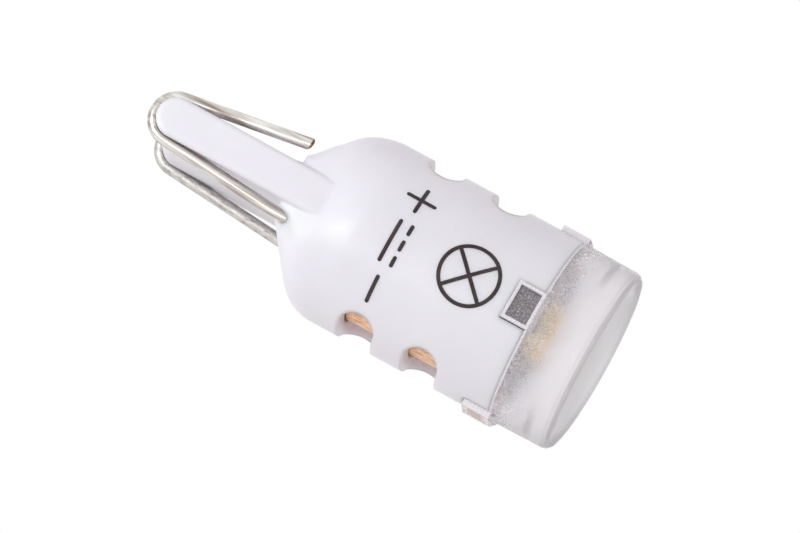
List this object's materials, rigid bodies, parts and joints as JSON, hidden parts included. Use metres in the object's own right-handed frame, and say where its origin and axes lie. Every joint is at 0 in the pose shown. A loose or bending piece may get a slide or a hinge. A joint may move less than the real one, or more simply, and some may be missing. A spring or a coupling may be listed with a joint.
{
  "type": "wedge base led bulb",
  "caption": "Miniature wedge base light emitting diode bulb: white vented barrel, clear end lens and hairpin contact wires round a flat wedge.",
  "frame": {"origin": "centre of the flat lens end, which the bulb stands on", "axes": "+Z from the lens end along the barrel to the wedge, X through the wedge's thickness, Y along the wedge's width"},
  "size_m": [0.0108, 0.0108, 0.0264],
  "materials": {
    "white_moulding": "satin white moulded resin",
    "clear_lens": "clear moulded polycarbonate",
    "tinned_wire": "tinned copper wire, drawn and bent",
    "bare_copper": "bare copper, turned",
    "thermal_pad": "soft grey gap pad",
    "metal_core_board": "metal core board, speckled grey",
    "emitter_case": "white reflector cup",
    "phosphor": "yellow phosphor in silicone",
    "solder": "bright solder",
    "driver_laminate": "green solder mask",
    "black_package": "black moulded package",
    "capacitor_body": "tan ceramic",
    "resistor_body": "black glazed ceramic",
    "red_insulation": "red insulation",
    "black_insulation": "black insulation"
  },
  "bodies": {
    "root": {"body_housing": "white_moulding", "lens": "clear_lens", "contact_wire_near": "tinned_wire", "contact_wire_far": "tinned_wire", "heat_slug": "bare_copper", "thermal_pad": "thermal_pad", "led_board": "metal_core_board", "led_package": "emitter_case", "led_phosphor": "phosphor", "led_solder": "solder", "driver_board": "driver_laminate", "bridge_rectifier": "black_package", "current_regulator": "black_package", "protection_diode": "black_package", "filter_capacitor": "capacitor_body", "sense_resistor": "resistor_body", "bleed_resistor": "resistor_body", "lead_negative": "black_insulation", "lead_positive": "red_insulation", "lead_solder_negative": "solder", "lead_solder_positive": "solder", "wire_solder_near": "solder", "wire_solder_far": "solder"}
  },
  "joints": []
}
